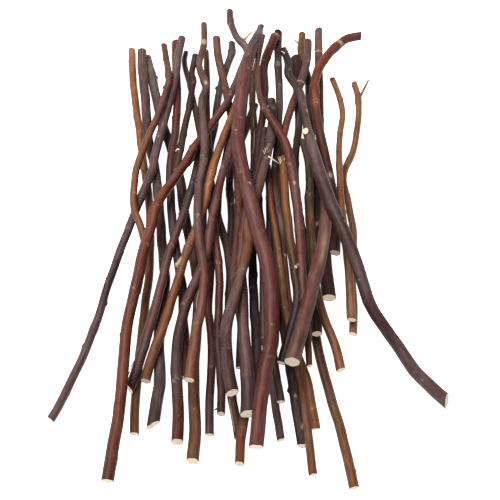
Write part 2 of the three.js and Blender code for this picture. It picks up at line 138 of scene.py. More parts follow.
# The twigs, in the order in which they are laid, lowest first.
TWIGS = [
    Twig(
        "twig_04_orange", diameters=(8.4, 8.5, 8.6),
        route=[(132, 49), (132.5, 70), (134, 90), (139, 128), (143, 160), (148, 190), (150, 220),
            (150, 250), (149, 275), (145.5, 300), (141, 340), (137, 380), (134.5, 415), (134.5, 433)],
        barks=("amber", "orange", "orange", "orange"),
    ),
    Twig(
        "twig_12_brown", diameters=(10.4, 10.3, 10.4, 11.3), tilt=0.17, slot="bark_dark",
        route=[(147, 57), (154.5, 88), (161, 118), (171, 147), (180, 178), (184, 210), (190, 240),
            (196, 270), (198.3, 300), (196, 335), (193.5, 370), (194.5, 410), (195, 430), (192.5, 460)],
        knots=[(0.05, 0.12)], barks=("dust", "umber", "umber", "red", "gold"),
        marks=[("bud", 158, 77, 1.5), ("scar", 158.5, 79, 1.1)],
    ),
    Twig(
        "twig_07_grey", diameters=(10.7, 10, 9.9, 11.5), slant=0.7,
        route=[(142, 50), (142.5, 70), (145.5, 100), (148, 137), (155, 168), (159, 205), (162, 242),
            (165, 278), (163, 300), (158.7, 338), (160, 378), (157.5, 395), (153, 424)],
        barks=("mauve", "plum", "umber", "plum"),
    ),
    Twig(
        "twig_13_dark", diameters=(7.1, 6.7, 6.3),
        route=[(207, 150), (206, 180), (204, 205), (203.5, 228), (204.5, 248), (207, 265), (208, 285),
            (206, 310)],
        barks=("dark", "dark"),
    ),
    Twig(
        "twig_33_dark", diameters=(9.2, 9, 9.2, 14.6),
        route=[(318.5, 29), (318.5, 55), (319.5, 90), (320, 125), (321, 160), (321, 200), (324, 230),
            (325.5, 260), (327, 280), (329, 297)],
        knots=[(0.09, 0.1)], barks=("fawn", "red", "umber", "plum"), marks=[("band", 318.6, 52.7, 0.35)],
    ),
    Twig(
        "twig_17_red", diameters=(8.8, 8, 8.3),
        route=[(254.5, 104), (247.5, 124), (239, 145), (231.5, 167), (229.5, 184), (231, 203),
            (231.5, 220), (230.5, 240), (232.5, 265), (233.5, 300)],
        knots=[(0.5, 0.18)], barks=("red", "cherry", "dark", "dark"),
        marks=[("node", 232, 204), ("scar", 254.3, 104.5, 1.3)],
        patches=[((254.5, 103), (253, 108), "amber", 9)],
    ),
    Twig(
        "twig_24_mauve", diameters=(8.1, 8.3, 8, 7.6),
        route=[(230, 10), (230.3, 19), (235.5, 34), (245.5, 46), (248.3, 58), (245.5, 80), (241.5, 105),
            (239.2, 138), (243.5, 171), (249, 200), (256, 228), (264, 258), (269, 288), (270.5, 330),
            (271, 370), (275, 402), (281, 439)],
        knots=[(0.03, 0.15), (0.1, 0.15)], barks=("mauve", "mauve", "plum", "mauve"),
        shoots=[Shoot(0.1, (251.5, 31), 3, (3.6, 2), bark="inner_wood")],
        marks=[("node", 245.5, 46), ("bud", 229, 24)],
    ),
    Twig(
        "twig_10_red", diameters=(9.1, 8.9, 8.9),
        route=[(175.5, 41), (176, 70), (177.3, 92), (175.5, 130), (171, 157), (170, 182), (172.5, 222),
            (177, 255), (182, 285), (183, 315), (184.7, 340), (183, 377)],
        barks=("red", "cherry", "plum", "plum", "red"),
    ),
    Twig(
        "twig_01_mauve", diameters=(9.1, 9.4, 8.1, 8.2),
        route=[(182, 37), (178, 55), (175.8, 72), (169.5, 100), (160, 135), (154.5, 157), (152, 170),
            (139, 201), (127, 232), (112, 272), (99, 313), (88, 343), (74, 374), (58.5, 405),
            (50.5, 418.5)],
        knots=[(0.47, 0.08), (0.8, 0.1)], barks=("mauve", "mauve", "plum", "mauve"),
        marks=[("bud", 109.5, 304), ("bud", 83.5, 346), ("node", 129, 230), ("node", 165, 125.4)],
        patches=[((179, 50), (176, 70), "grey", 8)],
    ),
    Twig(
        "twig_05_orange", diameters=(7.1, 7.8, 7.4),
        route=[(164, 44), (168.5, 73), (167.5, 85), (159.5, 110), (144.5, 145), (136.5, 168),
            (133.5, 193), (134.3, 208), (141, 227), (144.8, 246), (142.5, 265), (137, 292)],
        knots=[(0.14, 0.2)], barks=("rose", "rose", "orange", "orange", "gold"),
        marks=[("bud", 163, 86, 1.6)],
    ),
    Twig(
        "twig_03_brown", diameters=(5.8, 7.2, 8.7, 9.8), slant=-0.4, tilt=0.15, slot="bark_red",
        route=[(186, 51), (184.5, 62), (190, 85), (198, 123), (200, 140), (195, 173), (185.5, 207),
            (173, 241), (166.5, 262), (157, 300), (146, 338), (134.5, 375), (129, 388)],
        knots=[(0.34, 0.2), (0.47, 0.12)], barks=("plum", "umber", "plum", "rose", "plum"),
        shoots=[Shoot(0.345, (188, 165), 1, (4, 3), bare=0.3)],
        marks=[("bud", 177, 212, 1.2), ("node", 171, 246)], patches=[((174, 239), (168, 253), "rose", 8)],
    ),
    Twig(
        "twig_08_brown", diameters=(6.5, 7.2, 7.8), slot="bark_dark",
        route=[(195, 54), (192, 73), (192.5, 83), (189.5, 104), (184.5, 128), (180, 150), (176.5, 169)],
        knots=[(0.25, 0.3), (0.83, 0.15)], barks=("plum", "umber", "umber"),
        shoots=[Shoot(0.84, (177.4, 149.5), 3, (5, 4.6), bare=0.3)], marks=[("bud", 194.5, 81, 1.3)],
    ),
    Twig(
        "twig_18_dark", diameters=(7.9, 8.3, 8.6, 8.6),
        route=[(232, 42), (231, 54), (223, 77), (217.5, 100), (215, 123), (210, 148), (210, 175),
            (216, 209), (226.5, 245), (230, 272), (228.5, 315), (227, 350), (229.5, 380), (235.5, 416),
            (239, 438)],
        knots=[(0.03, 0.25), (0.12, 0.1)], barks=("grey", "plum", "umber", "umber"),
        marks=[("bud", 216.5, 88, 1.8), ("bud", 234.6, 52.7, 1.5)],
        patches=[((230.5, 402), (236.5, 434), "gold", 4)],
    ),
    Twig(
        "twig_19_brown", diameters=(9.1, 8.5, 8.6, 7.1), slot="bark_dark",
        route=[(216.5, 37), (218.5, 58), (225.5, 88), (230, 110), (235, 140), (238, 185), (239, 214),
            (236, 250), (233, 277), (237.5, 303), (241, 326), (239.5, 354), (239.5, 367)],
        barks=("fawn", "gold", "red", "umber"),
    ),
    Twig(
        "twig_14_mauve", diameters=(7.3, 7.9, 8.3),
        route=[(233, 125), (225, 160), (219, 192), (216.5, 222), (211.5, 262), (208.5, 305), (209.5, 320),
            (212, 350), (210.5, 380), (209.5, 410), (209.5, 434)],
        barks=("mauve", "umber", "red", "umber"),
    ),
    Twig(
        "twig_15_red", diameters=(6.5, 7.8, 7.7), tilt=0.19,
        route=[(206, 50), (207, 76), (207, 117), (209.5, 155), (210, 190), (215, 235), (219.3, 272),
            (219, 302), (217.5, 335), (220, 367), (221.3, 390), (221, 413)],
        knots=[(0.57, 0.12)], barks=("red", "umber", "red", "umber"),
        marks=[("node", 218, 262), ("scar", 206.6, 51.6, 0.6)],
    ),
    Twig(
        "twig_02_red", diameters=(7.5, 8.5, 9.6, 11.1, 10.8, 11.4),
        route=[(246, 55), (236.5, 80), (227, 101), (211, 124), (196, 144), (180, 170), (163, 193),
            (156, 207), (149.5, 230), (142.5, 253), (137, 280), (127.5, 322), (124.3, 352), (122, 380),
            (119, 410), (111.5, 455), (107.5, 480)],
        knots=[(0.44, 0.1)], barks=("mauve", "rose", "copper", "red", "copper", "red"),
        marks=[("node", 146, 246, 1.6), ("bud", 120, 334), ("bud", 210, 130), ("bud", 190, 146.5)],
    ),
    Twig(
        "twig_06_orange", diameters=(7.6, 8.6, 8.6, 9.4), tilt=0.1,
        route=[(241, 86), (234.5, 108), (221, 143), (211.5, 172), (205.5, 198), (198.5, 222),
            (186.5, 252), (175, 289), (163, 326), (154, 350), (147, 373), (145.5, 380)],
        knots=[(0.33, 0.12), (0.6, 0.2), (0.81, 0.12)], barks=("gold", "amber", "orange", "orange"),
        shoots=[Shoot(0.61, (176.2, 265.5), 1, (5.2, 4.2), bare=0.9)],
        marks=[("node", 210.4, 184.4), ("scar", 215, 177.5, 0.5), ("scar", 205.6, 178, 0.5),
            ("bud", 168, 324)],
    ),
    Twig(
        "twig_09_mauve", diameters=(7.3, 9, 10, 10.9), tilt=0.22,
        route=[(236, 128), (228.5, 153), (221, 177), (215.5, 203), (210.5, 228), (206.5, 252), (200, 271),
            (188.5, 297), (182, 318), (177.5, 341), (176, 368), (177.5, 395), (178, 420), (177, 441)],
        knots=[(0.3, 0.08), (0.81, 0.06)], barks=("mauve", "cherry", "red", "plum", "red"),
        marks=[("node", 212, 219.6), ("node", 177, 378)],
    ),
    Twig(
        "twig_11_mauve", diameters=(7.3, 8.4, 8.7, 9.8), tilt=0.09,
        route=[(204, 23), (204, 43), (199, 65), (206, 85), (201.7, 102), (204.7, 140), (203, 164),
            (198.5, 188), (198, 228), (203.5, 268), (203, 293), (196, 332), (191.5, 360), (189, 379)],
        knots=[(0.07, 0.15), (0.2, 0.25), (0.39, 0.08), (0.86, 0.08)],
        barks=("rose", "mauve", "mauve", "rose", "orange"),
        shoots=[Shoot(0.2, (208.8, 83), 1.5, (4, 3), bare=0.7)],
        marks=[("band", 204, 43), ("scar", 206, 84, 1.4), ("node", 202.8, 155), ("node", 199.7, 216),
            ("node", 196, 325)],
    ),
    Twig(
        "twig_20_dark", diameters=(5.9, 7.2, 8.4, 8.4, 9.8, 8.5), tilt=0.25,
        route=[(263, 34.5), (258.5, 55), (252.5, 90), (254, 131), (254, 170), (253, 205), (252.5, 240),
            (253, 280), (254.5, 310), (256.5, 350), (253, 381), (246, 408), (241, 436), (239.5, 463)],
        knots=[(0.26, 0.2), (0.63, 0.06)], barks=("rose", "olive", "dark", "dark", "umber", "copper"),
        marks=[("node", 254, 130), ("node", 253, 287)],
    ),
    Twig(
        "twig_28_dark", diameters=(8.3, 8.8, 10, 10.5),
        route=[(269, 172), (270.3, 215), (269.7, 245), (274, 280), (283, 322), (290.5, 365), (296, 402),
            (302, 438), (303, 445)],
        knots=[(0.76, 0.08)], barks=("dark", "plum", "plum"),
        marks=[("bud", 287.5, 390.7, 1.4), ("scar", 295, 396, 0.9), ("scar", 303, 427, 1.4)],
    ),
    Twig(
        "twig_38_brown", diameters=(8.5, 9.2, 9.3, 9.3), slot="bark_orange",
        route=[(302, 33), (301.5, 57), (308, 79), (310, 117), (312, 150), (316.8, 192), (316, 230),
            (313.5, 275), (313.5, 315), (319, 352), (329, 390), (341, 431), (350.5, 470), (354, 487)],
        knots=[(0.04, 0.15), (0.49, 0.2)],
        barks=("orange", "umber", "dark", "dark", "umber", "gold", "orange"),
        shoots=[Shoot(0.036, (294.2, 39), 3, (3.8, 1.8), bare=0.8, curl=0.4)],
        marks=[("node", 317, 225), ("scar", 316, 225.7, 0.9)],
    ),
    Twig(
        "twig_32_dark", diameters=(12.3, 8.4, 7.7, 7.8, 8.7, 10.2), tilt=0.1,
        route=[(295.5, 57), (297, 85), (298.5, 125), (295.3, 158), (296.5, 192), (303, 235), (309, 272),
            (316, 310), (317, 333)],
        barks=("umber", "dark", "plum"),
    ),
    Twig(
        "twig_35_olive", diameters=(6, 9.2, 7.5, 9), slant=0.15, slot="bark_orange",
        route=[(302, 139), (308, 162), (309.3, 180), (309.2, 205), (311, 235), (314.5, 273), (322, 310),
            (335, 344), (341, 369)],
        knots=[(0.28, 0.12)], barks=("olive", "olive", "gold", "orange", "orange"),
        marks=[("node", 308.5, 195.4)], patches=[((311, 208), (311.5, 224), "amber", 3)],
    ),
    Twig(
        "twig_34_red", diameters=(9.9, 10.3, 10.3, 10.7),
        route=[(361, 35), (352, 36.5), (343, 40), (328, 54), (317.5, 71), (314.5, 90), (317, 118),
            (325.5, 158), (333, 195), (335.7, 225), (335, 252)],
        knots=[(0.12, 0.12), (0.34, 0.14), (0.68, 0.06)], barks=("rose", "copper", "red", "umber", "red"),
        marks=[("band", 337.3, 42.3, 0.5), ("node", 315, 104), ("scar", 330, 176.6, 1.7)],
        patches=[((315, 96), (315.5, 108), "amber", 7)],
    ),
    Twig(
        "twig_37_tan", diameters=(7, 7, 7.6, 8.2),
        route=[(354, 82), (358, 97), (358, 120), (353, 150), (343.5, 174), (347.5, 198), (353.5, 233),
            (351.5, 270), (353.5, 305), (353, 333)],
        knots=[(0.08, 0.2), (0.34, 0.12)], barks=("tan", "orange", "tan"),
        shoots=[Shoot(0.08, (368.5, 79), 3, (3.6, 2))], marks=[("node", 346, 165.5)],
    ),
    Twig(
        "twig_36_tan", diameters=(6.4, 6.5, 7.2, 9.3),
        route=[(332.5, 78), (338.5, 94), (342.5, 112), (339.5, 138), (339.5, 172), (342, 208), (347, 252),
            (350, 287), (351.5, 319)],
        knots=[(0.4, 0.1)], barks=("tan", "orange", "tan"), marks=[("node", 341, 166)],
        patches=[((332, 76), (333.5, 81), "umber", 9)],
    ),
    Twig(
        "twig_25_orange", diameters=(9.1, 8, 6.6, 7.7),
        route=[(308, 40), (307.5, 56), (301.5, 80), (291.5, 106), (284.5, 131), (279, 167), (278.3, 210),
            (277.5, 255), (274, 315), (273.3, 350), (277.5, 380), (281, 401)],
        knots=[(0.14, 0.1)],
        barks=("mauve", "mauve", "copper", "orange", "orange", "orange", "umber", "olive"),
        marks=[("band", 299.4, 82.6, 0.35), ("bud", 309, 60.5)],
    ),
    Twig(
        "twig_30_grey", diameters=(9.1, 7.2, 6.6, 8),
        route=[(278.3, 31), (278, 60), (279.5, 104), (277, 144), (274.5, 176), (279, 212), (283, 240),
            (286, 278), (291, 315), (297.5, 360), (305, 405), (310, 450), (313, 474)],
        knots=[(0.1, 0.1)],
        barks=("dark", "umber", "umber", "umber", "umber", "copper", "orange", "orange"),
        marks=[("eye", 278, 65), ("scar", 280, 86, 0.5), ("scar", 285, 255, 0.6)],
        patches=[((280, 216), (283, 232), "grey", 7)],
    ),
    Twig(
        "twig_23_red", diameters=(10.4, 7.9, 7.7, 8.1),
        route=[(275, 34.5), (267.5, 54), (263.7, 68), (265, 90), (262.5, 117), (258.5, 140), (257, 165),
            (259, 205), (262, 230), (263.5, 275), (263.5, 320), (265, 345)],
        knots=[(0.09, 0.1), (0.96, 0.15)], barks=("red", "plum", "umber"),
        marks=[("bud", 262, 335), ("bud", 264, 60)],
        patches=[((277.5, 34), (275.5, 38), "inner_wood", 5)],
    ),
    Twig(
        "twig_21_brown", diameters=(8.4, 9.1, 10, 11.1, 14.4), tilt=0.13, slot="bark_red",
        route=[(265, 128), (262, 152), (256, 176), (248.5, 200), (243.3, 228), (240.6, 260), (242.5, 293),
            (243.5, 330), (246.5, 361), (248.3, 395), (248, 413)],
        barks=("umber", "plum", "red", "mauve", "plum"),
    ),
    Twig(
        "twig_31_orange", diameters=(5.9, 7.2, 8.2, 8.6), tilt=-0.2,
        route=[(268, 165), (269.5, 190), (275, 229), (280, 265), (284, 302), (293, 340), (306.5, 378),
            (312, 406), (316, 428)],
        knots=[(0.5, 0.14)], barks=("plum", "copper", "tan", "tan", "orange", "orange", "orange"),
        marks=[("node", 283, 307), ("scar", 271, 226.6, 0.4), ("scar", 279.5, 248.5, 0.4)],
    ),
    Twig(
        "twig_26_golden", diameters=(8.4, 9.4, 8), slot="bark_orange",
        route=[(283, 157), (285, 195), (289, 232), (294.5, 268), (297.5, 290), (295.5, 312), (288.5, 336),
            (281, 362)],
        barks=("amber", "orange", "gold", "umber", "dark", "dark"),
        marks=[("scar", 286, 164, 0.6)],
    ),
    Twig(
        "twig_16_grey", diameters=(8.6, 9.3, 10.4, 11.7), tilt=0.17,
        route=[(271.5, 99), (272.5, 118), (268, 150), (259, 186), (249, 221), (246.7, 250), (236.5, 288),
            (227, 322), (226, 348), (228.5, 371), (232.5, 392)],
        knots=[(0.16, 0.25), (0.56, 0.1)], barks=("dark", "umber", "orange", "mauve", "umber"),
        marks=[("node", 266, 147), ("bud", 244.5, 267)], patches=[((272, 98), (272.5, 106), "dark", 12)],
    ),
    Twig(
        "twig_29_red", diameters=(3.9, 7.1, 10.1, 9.5, 8.4, 5.7),
        route=[(256.5, 52), (258, 70), (258.5, 89), (264.5, 107), (279.5, 131), (287.5, 148),
            (293.5, 178), (298.5, 216), (301, 255), (303.5, 294), (307.5, 335), (309.5, 365)],
        knots=[(0.68, 0.12)], barks=("fawn", "red", "rose", "rose", "red"),
        shoots=[Shoot(0.722, (295.6, 266), 4, (4.4, 3.8), bare=0.3)],
        marks=[("scar", 294.2, 184.2), ("bud", 303, 226), ("bud", 267.5, 109)],
    ),
    Twig(
        "twig_27_mauve", diameters=(9.4, 11, 12.6, 13.9), tilt=0.2,
        route=[(312, 140), (320, 170), (325.3, 200), (323.7, 238), (315, 276), (305.5, 312), (295.5, 348),
            (292, 361)],
        knots=[(0.62, 0.06)], barks=("mauve", "rose", "rose", "rose"),
        marks=[("node", 311.6, 276.6), ("bloom", 325, 243), ("bloom", 322, 259)],
    ),
    Twig(
        "twig_39_dark",
        diameters=(8.2, 8.4, 8.2, 8.4, 12.2, 13, 13.4, 12.6, 11.7, 11.4, 11.2, 11.8, 12.6), slant=0.3,
        tilt=0.45, slot="bark_mauve",
        route=[(283.5, 48.5), (288, 61), (288.8, 74), (300, 92), (304, 111), (310.5, 141), (320, 173),
            (332, 206), (347.5, 239), (359.5, 271), (369.5, 302), (381, 321), (400.5, 349), (414, 368.5),
            (431.5, 386.5), (447, 400)],
        knots=[(0.276, 0.12)], barks=("dark", "plum", "mauve", "plum", "plum", "plum", "mauve"),
        shoots=[Shoot(0.273, (305.4, 130), 6, (7.6, 7))],
        marks=[("scar", 307, 112), ("bud", 304, 104), ("bud", 343, 219.5), ("bud", 357, 277),
            ("node", 420.5, 379.4), ("node", 290, 72)],
        patches=[((427, 384), (440, 395), "gold", 3)],
    ),
    Twig(
        "twig_22_mauve", diameters=(10.2, 14.3, 13.7, 14.6, 14.9, 13, 12.6), slot="bark_red",
        route=[(261, 25), (257, 37), (249.8, 53), (243.5, 81), (240, 110), (238, 135), (240.5, 160),
            (248, 190), (258, 230), (266.5, 260), (271, 295), (271, 340), (265, 370), (260.5, 402),
            (256, 446)],
        knots=[(0, -0.3), (0.014, -0.25), (0.2, 0.05), (0.36, 0.04), (0.8, 0.06)],
        barks=("grey", "rose", "cherry", "rose", "cherry", "red", "cherry"),
        marks=[("node", 238, 132), ("scar", 249.5, 185, 0.8), ("node", 269.6, 357),
            ("scar", 248.5, 56.5, 0.5), ("scar", 248.5, 72, 0.4)],
        patches=[((260, 30), (259, 37), "dust", 14)],
    ),
]


def catmull_rom(points, count):
    """count + 1 points of the smooth curve through the given ones, even in its parameter."""
    ends = np.vstack([2 * points[0] - points[1], points, 2 * points[-1] - points[-2]])
    at = np.arange(count + 1) / count * (len(points) - 1)
    first = np.minimum(at.astype(int), len(points) - 2)
    w = (at - first)[:, None]
    p0, p1, p2, p3 = (ends[first + k] for k in range(4))
    v0, v1 = (p2 - p0) / 2, (p3 - p1) / 2
    return (2 * p1 - 2 * p2 + v0 + v1) * w**3 + (3 * p2 - 3 * p1 - 2 * v0 - v1) * w**2 + v0 * w + p1


def lengths_along(points):
    return np.concatenate([[0.0], np.cumsum(np.linalg.norm(np.diff(points, axis=0), axis=1))])


def spread(values, share):
    """Values spaced evenly along a twig, read at shares of its length."""
    return np.interp(share, np.linspace(0, 1, len(values)), values)


class Stations:
    """Points along a twig: on the table until it is laid, then in their places."""

    def __init__(self, twig):
        points = np.array([seen_at(pixel) for pixel in twig.route])
        self.length = lengths_along(catmull_rom(points, 200))[-1]
        pieces = len(points) - 1
        self.ground = catmull_rom(points, pieces * math.ceil(self.length / pieces / STEP))
        chord = self.ground[-1] - self.ground[0]
        self.along = (self.ground - self.ground[0]) @ (chord / np.linalg.norm(chord))
        self.share = lengths_along(self.ground) / self.length
        self.radius = spread(twig.diameters, self.share) / 2
        for at, growth in twig.knots:
            self.radius *= 1 + growth * np.exp(-((((self.share - at) * self.length) / KNOT_REACH) ** 2))
        self.place = self.ground

    def raised(self, z):
        """The ground points moved up their sight lines to heights z."""
        return self.ground + (EYE - self.ground) * (z / EYE[2])[:, None]


def clear_heights(places, radii, laid):
    """The lowest heights at which stations clear every segment of the twigs below them."""
    lowest = radii * math.cos(math.pi / SIDES)
    for other in laid:
        a, b = other.place[:-1], other.place[1:]
        step = (b - a)[:, :2]
        offset = places[:, None, :2] - a[:, :2]
        t = np.clip((offset * step).sum(2) / (step**2).sum(1), 0, 1)
        apart = ((offset - t[..., None] * step) ** 2).sum(2)
        reach = (radii[:, None] + np.maximum(other.radius[:-1], other.radius[1:]) + GAP) ** 2
        height = a[:, 2] + t * (b - a)[:, 2] + np.sqrt(np.maximum(reach - apart, 0))
        lowest = np.maximum(lowest, np.where(apart < reach, height, 0).max(1))
    return lowest


def resting_line(along, needed, middle):
    """The straight lie over the needed heights that is held on both sides of the middle."""
    hull = []
    for p in sorted(zip(along, needed), key=lambda q: q[0]):
        while len(hull) > 1:
            a, b = hull[-2:]
            if (b[0] - a[0]) * (p[1] - a[1]) - (b[1] - a[1]) * (p[0] - a[0]) < 0:
                break
            hull.pop()
        hull.append(p)
    right = next((i for i, p in enumerate(hull) if p[0] > middle), 1)
    a, b = hull[max(right, 1) - 1], hull[max(right, 1)]
    slope = (b[1] - a[1]) / (b[0] - a[0])
    return a[1] + slope * (along - a[0])


def lay(stations, laid):
    """Lays one twig on those already laid, with the bow that lets it lie lowest."""
    middle = stations.along[-1] / 2
    best = None
    for bow in BOWS:
        arch = -bow * (stations.along - middle) ** 2 / 2
        height = np.zeros(len(arch))
        for _ in range(PASSES):
            needed = clear_heights(stations.raised(height), stations.radius, laid) - arch
            height = resting_line(stations.along, needed, middle) + arch
        if best is None or height.max() < best.max() - WORTHWHILE:
            best = height
    stations.place = stations.raised(best)
    return stations


# Colours and materials.


def linear(hexa):
    """An sRGB hex colour as Blender's linear RGBA."""
    srgb = [int(hexa[i : i + 2], 16) / 255 for i in (1, 3, 5)]
    return [c / 12.92 if c <= 0.04045 else ((c + 0.055) / 1.055) ** 2.4 for c in srgb] + [1.0]


# Bark colours, matched.
BARK = {
    "mauve": "#5b3f3c",
    "plum": "#422a29",
    "rose": "#60342c",
    "red": "#5a2719",
    "copper": "#6c3019",
    "orange": "#754423",
    "gold": "#623c1d",
    "tan": "#825739",
    "olive": "#4a3722",
    "grey": "#544946",
    "dust": "#6c5c55",
    "fawn": "#68463a",
    "amber": "#905631",
    "cherry": "#5d2723",
    "umber": "#391f17",
    "dark": "#221513",
    "inner_wood": "#b98f5e",
}
SCAR = "#b0937a"  # corky leaf scars and worn nodes
BLOOM = "#6f605d"  # the waxy grey film on smooth bark
SHADE = "#1c0f0b"  # the bottom of a fissure
WOOD = "#d8c7b1"  # freshly cut sapwood
LATEWOOD = "#c2ab8e"  # the denser line of each growth ring
PITH = "#a98f72"
BAST = "#5a3322"  # the inner bark that shows as a rim round a cut


def add(tree, kind, inputs=None, **settings):
    """Adds a node: settings are its own, and inputs are values or the sockets linked to them."""
    node = tree.nodes.new(kind)
    for name, value in settings.items():
        setattr(node, name, value)
    for key, value in (inputs or {}).items():
        if isinstance(value, bpy.types.NodeSocket):
            tree.links.new(value, node.inputs[key])
        else:
            node.inputs[key].default_value = value
    return node


def blank_material(name):
    material = bpy.data.materials.new(name)
    material.use_nodes = True
    tree = material.node_tree
    tree.nodes.clear()
    return material, tree


def show_surface(tree, inputs):
    shader = add(tree, "ShaderNodeBsdfPrincipled", inputs)
    add(tree, "ShaderNodeOutputMaterial", {"Surface": shader.outputs["BSDF"]})


# Input and output sockets of the Mix node for colours.
FACTOR, FIRST, SECOND, MIXED = 0, 6, 7, 2


def mix(tree, factor, first, second, kind="MIX"):
    inputs = {FACTOR: factor, FIRST: first, SECOND: second}
    return add(tree, "ShaderNodeMix", inputs, data_type="RGBA", blend_type=kind).outputs[MIXED]


def ramp(tree, value, low, high, to_low=0.0, to_high=1.0):
    inputs = {"Value": value, "From Min": low, "From Max": high, "To Min": to_low, "To Max": to_high}
    return add(tree, "ShaderNodeMapRange", inputs).outputs["Result"]


def bark_material(name, roughness, bloom, streak):
    """Young twig bark: smooth and satin, with a thin waxy film, fine fissures along the twig and
    small pale corky dots. It reads each twig straightened, as the straight attribute has it."""
    material, tree = blank_material(name)
    straight = add(tree, "ShaderNodeAttribute", attribute_name="straight").outputs["Vector"]
    # on each twig's stem the tint attribute also holds painted shade, darker towards the lower side
    tint = add(tree, "ShaderNodeAttribute", attribute_name="tint").outputs["Color"]
    pale = add(tree, "ShaderNodeAttribute", attribute_name="pale").outputs["Fac"]

    def stretched(along, scale, detail):
        """Noise of 1 / scale metres across the twig and 1 / along times as long."""
        place = add(tree, "ShaderNodeMapping", {"Vector": straight, "Scale": (1, 1, along)})
        inputs = {"Vector": place.outputs["Vector"], "Scale": scale, "Detail": detail}
        return add(tree, "ShaderNodeTexNoise", inputs).outputs["Fac"]

    fissures = stretched(0.07, 1 / (1.3 * MM), 3)  # 1.3 mm apart and about 20 mm long
    patches = stretched(0.35, 1 / (9 * MM), 2)  # the film is rubbed off in patches of 9 mm
    drift = stretched(0.5, 1 / (45 * MM), 1)  # the bark's colour changes over 45 mm
    mottle = stretched(0.4, 1 / (2.6 * MM), 4)  # blotches of 2.6 mm, over twice as long
    place = add(tree, "ShaderNodeMapping", {"Vector": straight, "Scale": (0.6, 0.6, 1)})
    inputs = {"Vector": place.outputs["Vector"], "Scale": 1 / (3.2 * MM), "Randomness": 1.0}
    cells = add(tree, "ShaderNodeTexVoronoi", inputs).outputs["Distance"]
    dots = ramp(tree, cells, 0.14, 0.06)  # corky dots 0.4 mm across, one in 3.2 mm

    colour = mix(tree, ramp(tree, drift, 0.35, 0.65, 0.0, 0.35), tint, linear(SHADE), "SOFT_LIGHT")
    colour = mix(tree, ramp(tree, mottle, 0.55, 0.3, 0.0, 0.32), colour, linear(SHADE))
    colour = mix(tree, ramp(tree, mottle, 0.55, 0.8, 0.0, 0.4), colour, tint, "SCREEN")
    colour = mix(tree, ramp(tree, patches, 0.42, 0.68, 0.0, bloom), colour, linear(BLOOM))
    colour = mix(tree, ramp(tree, fissures, 0.48, 0.28, 0.0, streak), colour, linear(SHADE))
    colour = mix(tree, ramp(tree, fissures, 0.58, 0.78, 0.0, 0.12), colour, linear(SCAR))
    colour = mix(tree, ramp(tree, dots, 0.0, 1.0, 0.0, 0.22), colour, linear(SCAR))
    colour = mix(tree, pale, colour, linear(SCAR))
    relief = add(tree, "ShaderNodeMath", {0: fissures, 1: 0.7, 2: dots}, operation="MULTIPLY_ADD")
    inputs = {"Strength": 0.5, "Distance": 0.25 * MM, "Height": relief.outputs["Value"]}
    bump = add(tree, "ShaderNodeBump", inputs)
    inputs = {
        "Base Color": colour,
        "Roughness": roughness,
        "IOR": 1.45,
        "Specular IOR Level": 0.22,
        "Normal": bump.outputs["Normal"],
    }
    show_surface(tree, inputs)
    return material


def cut_wood_material():
    """Sawn end grain of a young branch: dry, matt and cream, with faint yearly rings 1.1 mm apart
    and a small brown pith."""
    material, tree = blank_material("cut_wood_end_grain")
    straight = add(tree, "ShaderNodeAttribute", attribute_name="straight").outputs["Vector"]
    flat = add(tree, "ShaderNodeMapping", {"Vector": straight, "Scale": (1, 1, 0)}).outputs["Vector"]
    wobble = add(tree, "ShaderNodeTexNoise", {"Vector": straight, "Scale": 1 / (4 * MM)})
    inputs = {0: wobble.outputs["Color"], 1: (0.6 * MM,) * 3, 2: flat}
    shifted = add(tree, "ShaderNodeVectorMath", inputs, operation="MULTIPLY_ADD")
    inputs = {0: shifted.outputs["Vector"]}
    out = add(tree, "ShaderNodeVectorMath", inputs, operation="LENGTH").outputs["Value"]
    wave = add(tree, "ShaderNodeMath", {0: out, 1: 2 * math.pi / (1.1 * MM)}, operation="MULTIPLY")
    rings = add(tree, "ShaderNodeMath", {0: wave.outputs["Value"]}, operation="SINE").outputs["Value"]
    noise = add(tree, "ShaderNodeTexNoise", {"Vector": straight, "Scale": 1 / (0.5 * MM)})
    fibre = noise.outputs["Fac"]
    colour = mix(tree, ramp(tree, rings, 0.2, 1.0, 0.0, 0.25), linear(WOOD), linear(LATEWOOD))
    colour = mix(tree, ramp(tree, fibre, 0.5, 0.8, 0.0, 0.3), colour, linear(LATEWOOD))
    colour = mix(tree, ramp(tree, out, 0.9 * MM, 0.4 * MM, 0.0, 0.45), colour, linear(PITH))
    inputs = {"Strength": 0.4, "Distance": 0.2 * MM, "Height": fibre}
    bump = add(tree, "ShaderNodeBump", inputs)
    inputs = {"Base Color": colour, "Roughness": 0.8, "IOR": 1.5, "Normal": bump.outputs["Normal"]}
    show_surface(tree, inputs)
    return material


def bast_material():
    """The inner bark round a cut: fibrous, dry and dull red-brown."""
    material, tree = blank_material("inner_bark_rim")
    show_surface(tree, {"Base Color": linear(BAST), "Roughness": 0.75, "IOR": 1.45})
    return material


def light_table_material():
    """The matt white acrylic that the heap lies on, lit a little from below."""
    material, tree = blank_material("matt_white_acrylic")
    inputs = {
        "Base Color": linear("#f2f1ee"),
        "Roughness": 0.9,
        "Emission Color": (1, 1, 1, 1),
        "Emission Strength": 0.95,
    }
    show_surface(tree, inputs)
    return material


# A twig's mesh.

BARK_FACE, WOOD_FACE, BAST_FACE = 0, 1, 2


